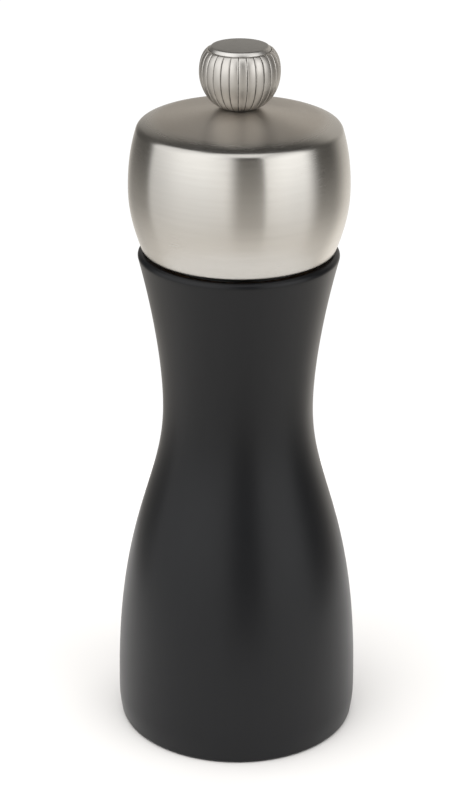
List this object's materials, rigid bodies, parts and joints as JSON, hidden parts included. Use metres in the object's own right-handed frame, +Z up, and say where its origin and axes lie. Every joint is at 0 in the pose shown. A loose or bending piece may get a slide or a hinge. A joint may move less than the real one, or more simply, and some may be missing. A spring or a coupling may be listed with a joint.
{
  "type": "pepper mill",
  "caption": "Upright turned-wood pepper mill with a metal turning head, a fluted grind-setting knob and a toothed grinding mechanism in its base.",
  "frame": {"origin": "centre of the base, on the surface that the mill stands on", "axes": "+Z up the mill's axis towards the knob, +X towards the first base screw"},
  "size_m": [0.0518, 0.0518, 0.15],
  "materials": {
    "body_lacquer": "matte black lacquer on turned beech",
    "beech": "turned, unfinished",
    "head_steel": "finely turned satin stainless steel",
    "knob_metal": "satin nickel plate, darker in the flutes",
    "hardened_steel": "case-hardened, dark satin",
    "plated_steel": "zinc plated",
    "spring_steel": "drawn wire, bright",
    "fasteners": "zinc plated"
  },
  "bodies": {
    "mill_body": {"wood_body": "body_lacquer", "mill_cage": "plated_steel", "stator_ring": "hardened_steel", "base_ring": "plated_steel", "base_screw_1": "fasteners", "base_screw_2": "fasteners", "base_screw_3": "fasteners", "shaft_bridge": "plated_steel", "bridge_rivet_1": "fasteners", "bridge_rivet_2": "fasteners"},
    "drive": {"thrust_washer": "plated_steel", "grind_spring": "spring_steel"},
    "shaft": {"drive_shaft": "plated_steel", "shaft_stop_clip": "spring_steel", "grinding_rotor": "hardened_steel"},
    "head": {"head_cap": "head_steel", "head_core": "beech", "drive_plate": "plated_steel", "plate_screw_1": "fasteners", "plate_screw_2": "fasteners"},
    "knob": {"knob_body": "knob_metal", "knob_cap": "knob_metal"}
  },
  "joints": [
    {"name": "grind_turn", "type": "hinge", "parent": "mill_body", "child": "drive", "pos_m": [0, 0, 0.1], "axis": [0, 0, 1], "continuous": true},
    {"name": "shaft_adjust", "type": "slide", "parent": "drive", "child": "shaft", "axis": [0, 0, 1], "range_m": [-0.0011, 0], "deforming": ["grind_spring"]},
    {"name": "head_lift", "type": "slide", "parent": "drive", "child": "head", "axis": [0, 0, 1], "range_m": [0, 0.06]},
    {"name": "knob_adjust", "type": "hinge", "parent": "head", "child": "knob", "pos_m": [0, 0, 0.144], "axis": [0, 0, 1], "range_deg": [0, 540]}
  ],
  "couplings": [
    {"joint": "shaft_adjust", "follows": "knob_adjust", "m_per_rad": -0.00011141}
  ]
}
